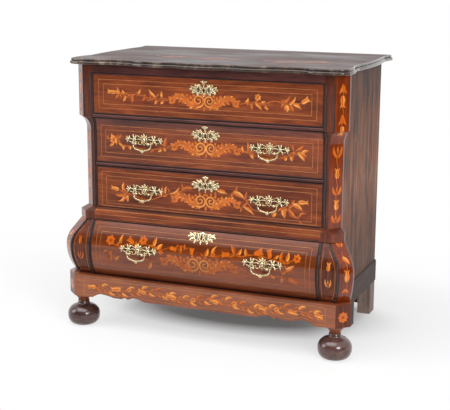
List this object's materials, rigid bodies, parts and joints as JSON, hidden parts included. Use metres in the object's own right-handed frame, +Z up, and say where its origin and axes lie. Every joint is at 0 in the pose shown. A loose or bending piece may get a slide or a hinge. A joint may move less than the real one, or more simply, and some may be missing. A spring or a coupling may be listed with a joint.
{
  "type": "bombe chest of drawers",
  "caption": "Floral-marquetry bombe chest of long drawers with canted swelling corners, pierced brass drop handles, a shaped top and bun feet.",
  "frame": {"origin": "on the floor, under the middle of the overall width and depth", "axes": "+X to the right of someone facing the front, +Y towards the back, +Z up"},
  "size_m": [0.974, 0.5957, 0.88],
  "materials": {
    "veneer": "french polished",
    "side_wood": "waxed",
    "top_veneer": "french polished",
    "ebonised": "gloss",
    "oak": "raw",
    "brass": "polished, lacquered",
    "iron": "dull"
  },
  "bodies": {
    "case": {"top_board": "top_veneer", "left_side_panel": "side_wood", "right_side_panel": "side_wood", "back_boards": "oak", "bottom_board": "oak", "left_corner_post": "veneer", "right_corner_post": "veneer", "corner_beads": "ebonised", "frieze_rail": "veneer", "upper_rail": "veneer", "middle_rail": "veneer", "waist_rail": "veneer", "drawer_runners": "oak", "drawer_guides": "oak", "drawer_stops": "oak", "front_plinth": "veneer", "left_plinth": "side_wood", "right_plinth": "side_wood", "plinth_corner_blocks": "veneer", "front_feet": "ebonised", "left_rear_foot": "side_wood", "right_rear_foot": "side_wood"},
    "drawer_1": {"drawer_1_front": "veneer", "drawer_1_sides": "oak", "drawer_1_back": "oak", "drawer_1_bottom": "oak", "drawer_1_lock": "iron", "drawer_1_brasses": "brass"},
    "drawer_1_bolt": {"drawer_1_lock_bolt": "iron"},
    "drawer_2_left_bail": {"drawer_2_left_bail": "brass"},
    "drawer_2_right_bail": {"drawer_2_right_bail": "brass"},
    "drawer_2": {"drawer_2_front": "veneer", "drawer_2_sides": "oak", "drawer_2_back": "oak", "drawer_2_bottom": "oak", "drawer_2_lock": "iron", "drawer_2_brasses": "brass"},
    "drawer_2_bolt": {"drawer_2_lock_bolt": "iron"},
    "drawer_3_left_bail": {"drawer_3_left_bail": "brass"},
    "drawer_3_right_bail": {"drawer_3_right_bail": "brass"},
    "drawer_3": {"drawer_3_front": "veneer", "drawer_3_sides": "oak", "drawer_3_back": "oak", "drawer_3_bottom": "oak", "drawer_3_lock": "iron", "drawer_3_brasses": "brass"},
    "drawer_3_bolt": {"drawer_3_lock_bolt": "iron"},
    "drawer_4_left_bail": {"drawer_4_left_bail": "brass"},
    "drawer_4_right_bail": {"drawer_4_right_bail": "brass"},
    "drawer_4": {"drawer_4_front": "veneer", "drawer_4_sides": "oak", "drawer_4_back": "oak", "drawer_4_bottom": "oak", "drawer_4_lock": "iron", "drawer_4_brasses": "brass"},
    "drawer_4_bolt": {"drawer_4_lock_bolt": "iron"}
  },
  "joints": [
    {"name": "drawer_1_slide", "type": "slide", "parent": "case", "child": "drawer_1", "axis": [0, -1, 0], "range_m": [0, 0.36]},
    {"name": "drawer_1_bolt_throw", "type": "slide", "parent": "drawer_1", "child": "drawer_1_bolt", "axis": [0, 0, 1], "range_m": [0, 0.008]},
    {"name": "drawer_2_slide", "type": "slide", "parent": "case", "child": "drawer_2", "axis": [0, -1, 0], "range_m": [0, 0.36]},
    {"name": "drawer_2_bolt_throw", "type": "slide", "parent": "drawer_2", "child": "drawer_2_bolt", "axis": [0, 0, 1], "range_m": [0, 0.008]},
    {"name": "drawer_2_left_bail_swing", "type": "hinge", "parent": "drawer_2", "child": "drawer_2_left_bail", "pos_m": [-0.21, -0.23865, 0.618], "axis": [-1, 0, 0], "range_deg": [-12, 160]},
    {"name": "drawer_2_right_bail_swing", "type": "hinge", "parent": "drawer_2", "child": "drawer_2_right_bail", "pos_m": [0.21, -0.23865, 0.618], "axis": [-1, 0, 0], "range_deg": [-12, 160]},
    {"name": "drawer_3_slide", "type": "slide", "parent": "case", "child": "drawer_3", "axis": [0, -1, 0], "range_m": [0, 0.36]},
    {"name": "drawer_3_bolt_throw", "type": "slide", "parent": "drawer_3", "child": "drawer_3_bolt", "axis": [0, 0, 1], "range_m": [0, 0.008]},
    {"name": "drawer_3_left_bail_swing", "type": "hinge", "parent": "drawer_3", "child": "drawer_3_left_bail", "pos_m": [-0.21, -0.23865, 0.4565], "axis": [-1, 0, 0], "range_deg": [-12, 160]},
    {"name": "drawer_3_right_bail_swing", "type": "hinge", "parent": "drawer_3", "child": "drawer_3_right_bail", "pos_m": [0.21, -0.23865, 0.4565], "axis": [-1, 0, 0], "range_deg": [-12, 160]},
    {"name": "drawer_4_slide", "type": "slide", "parent": "case", "child": "drawer_4", "axis": [0, -1, 0], "range_m": [0, 0.36]},
    {"name": "drawer_4_bolt_throw", "type": "slide", "parent": "drawer_4", "child": "drawer_4_bolt", "axis": [0, 0, 1], "range_m": [0, 0.008]},
    {"name": "drawer_4_left_bail_swing", "type": "hinge", "parent": "drawer_4", "child": "drawer_4_left_bail", "pos_m": [-0.21, -0.29263, 0.272], "axis": [-1, 0, 0], "range_deg": [-12, 160]},
    {"name": "drawer_4_right_bail_swing", "type": "hinge", "parent": "drawer_4", "child": "drawer_4_right_bail", "pos_m": [0.21, -0.29263, 0.272], "axis": [-1, 0, 0], "range_deg": [-12, 160]}
  ]
}
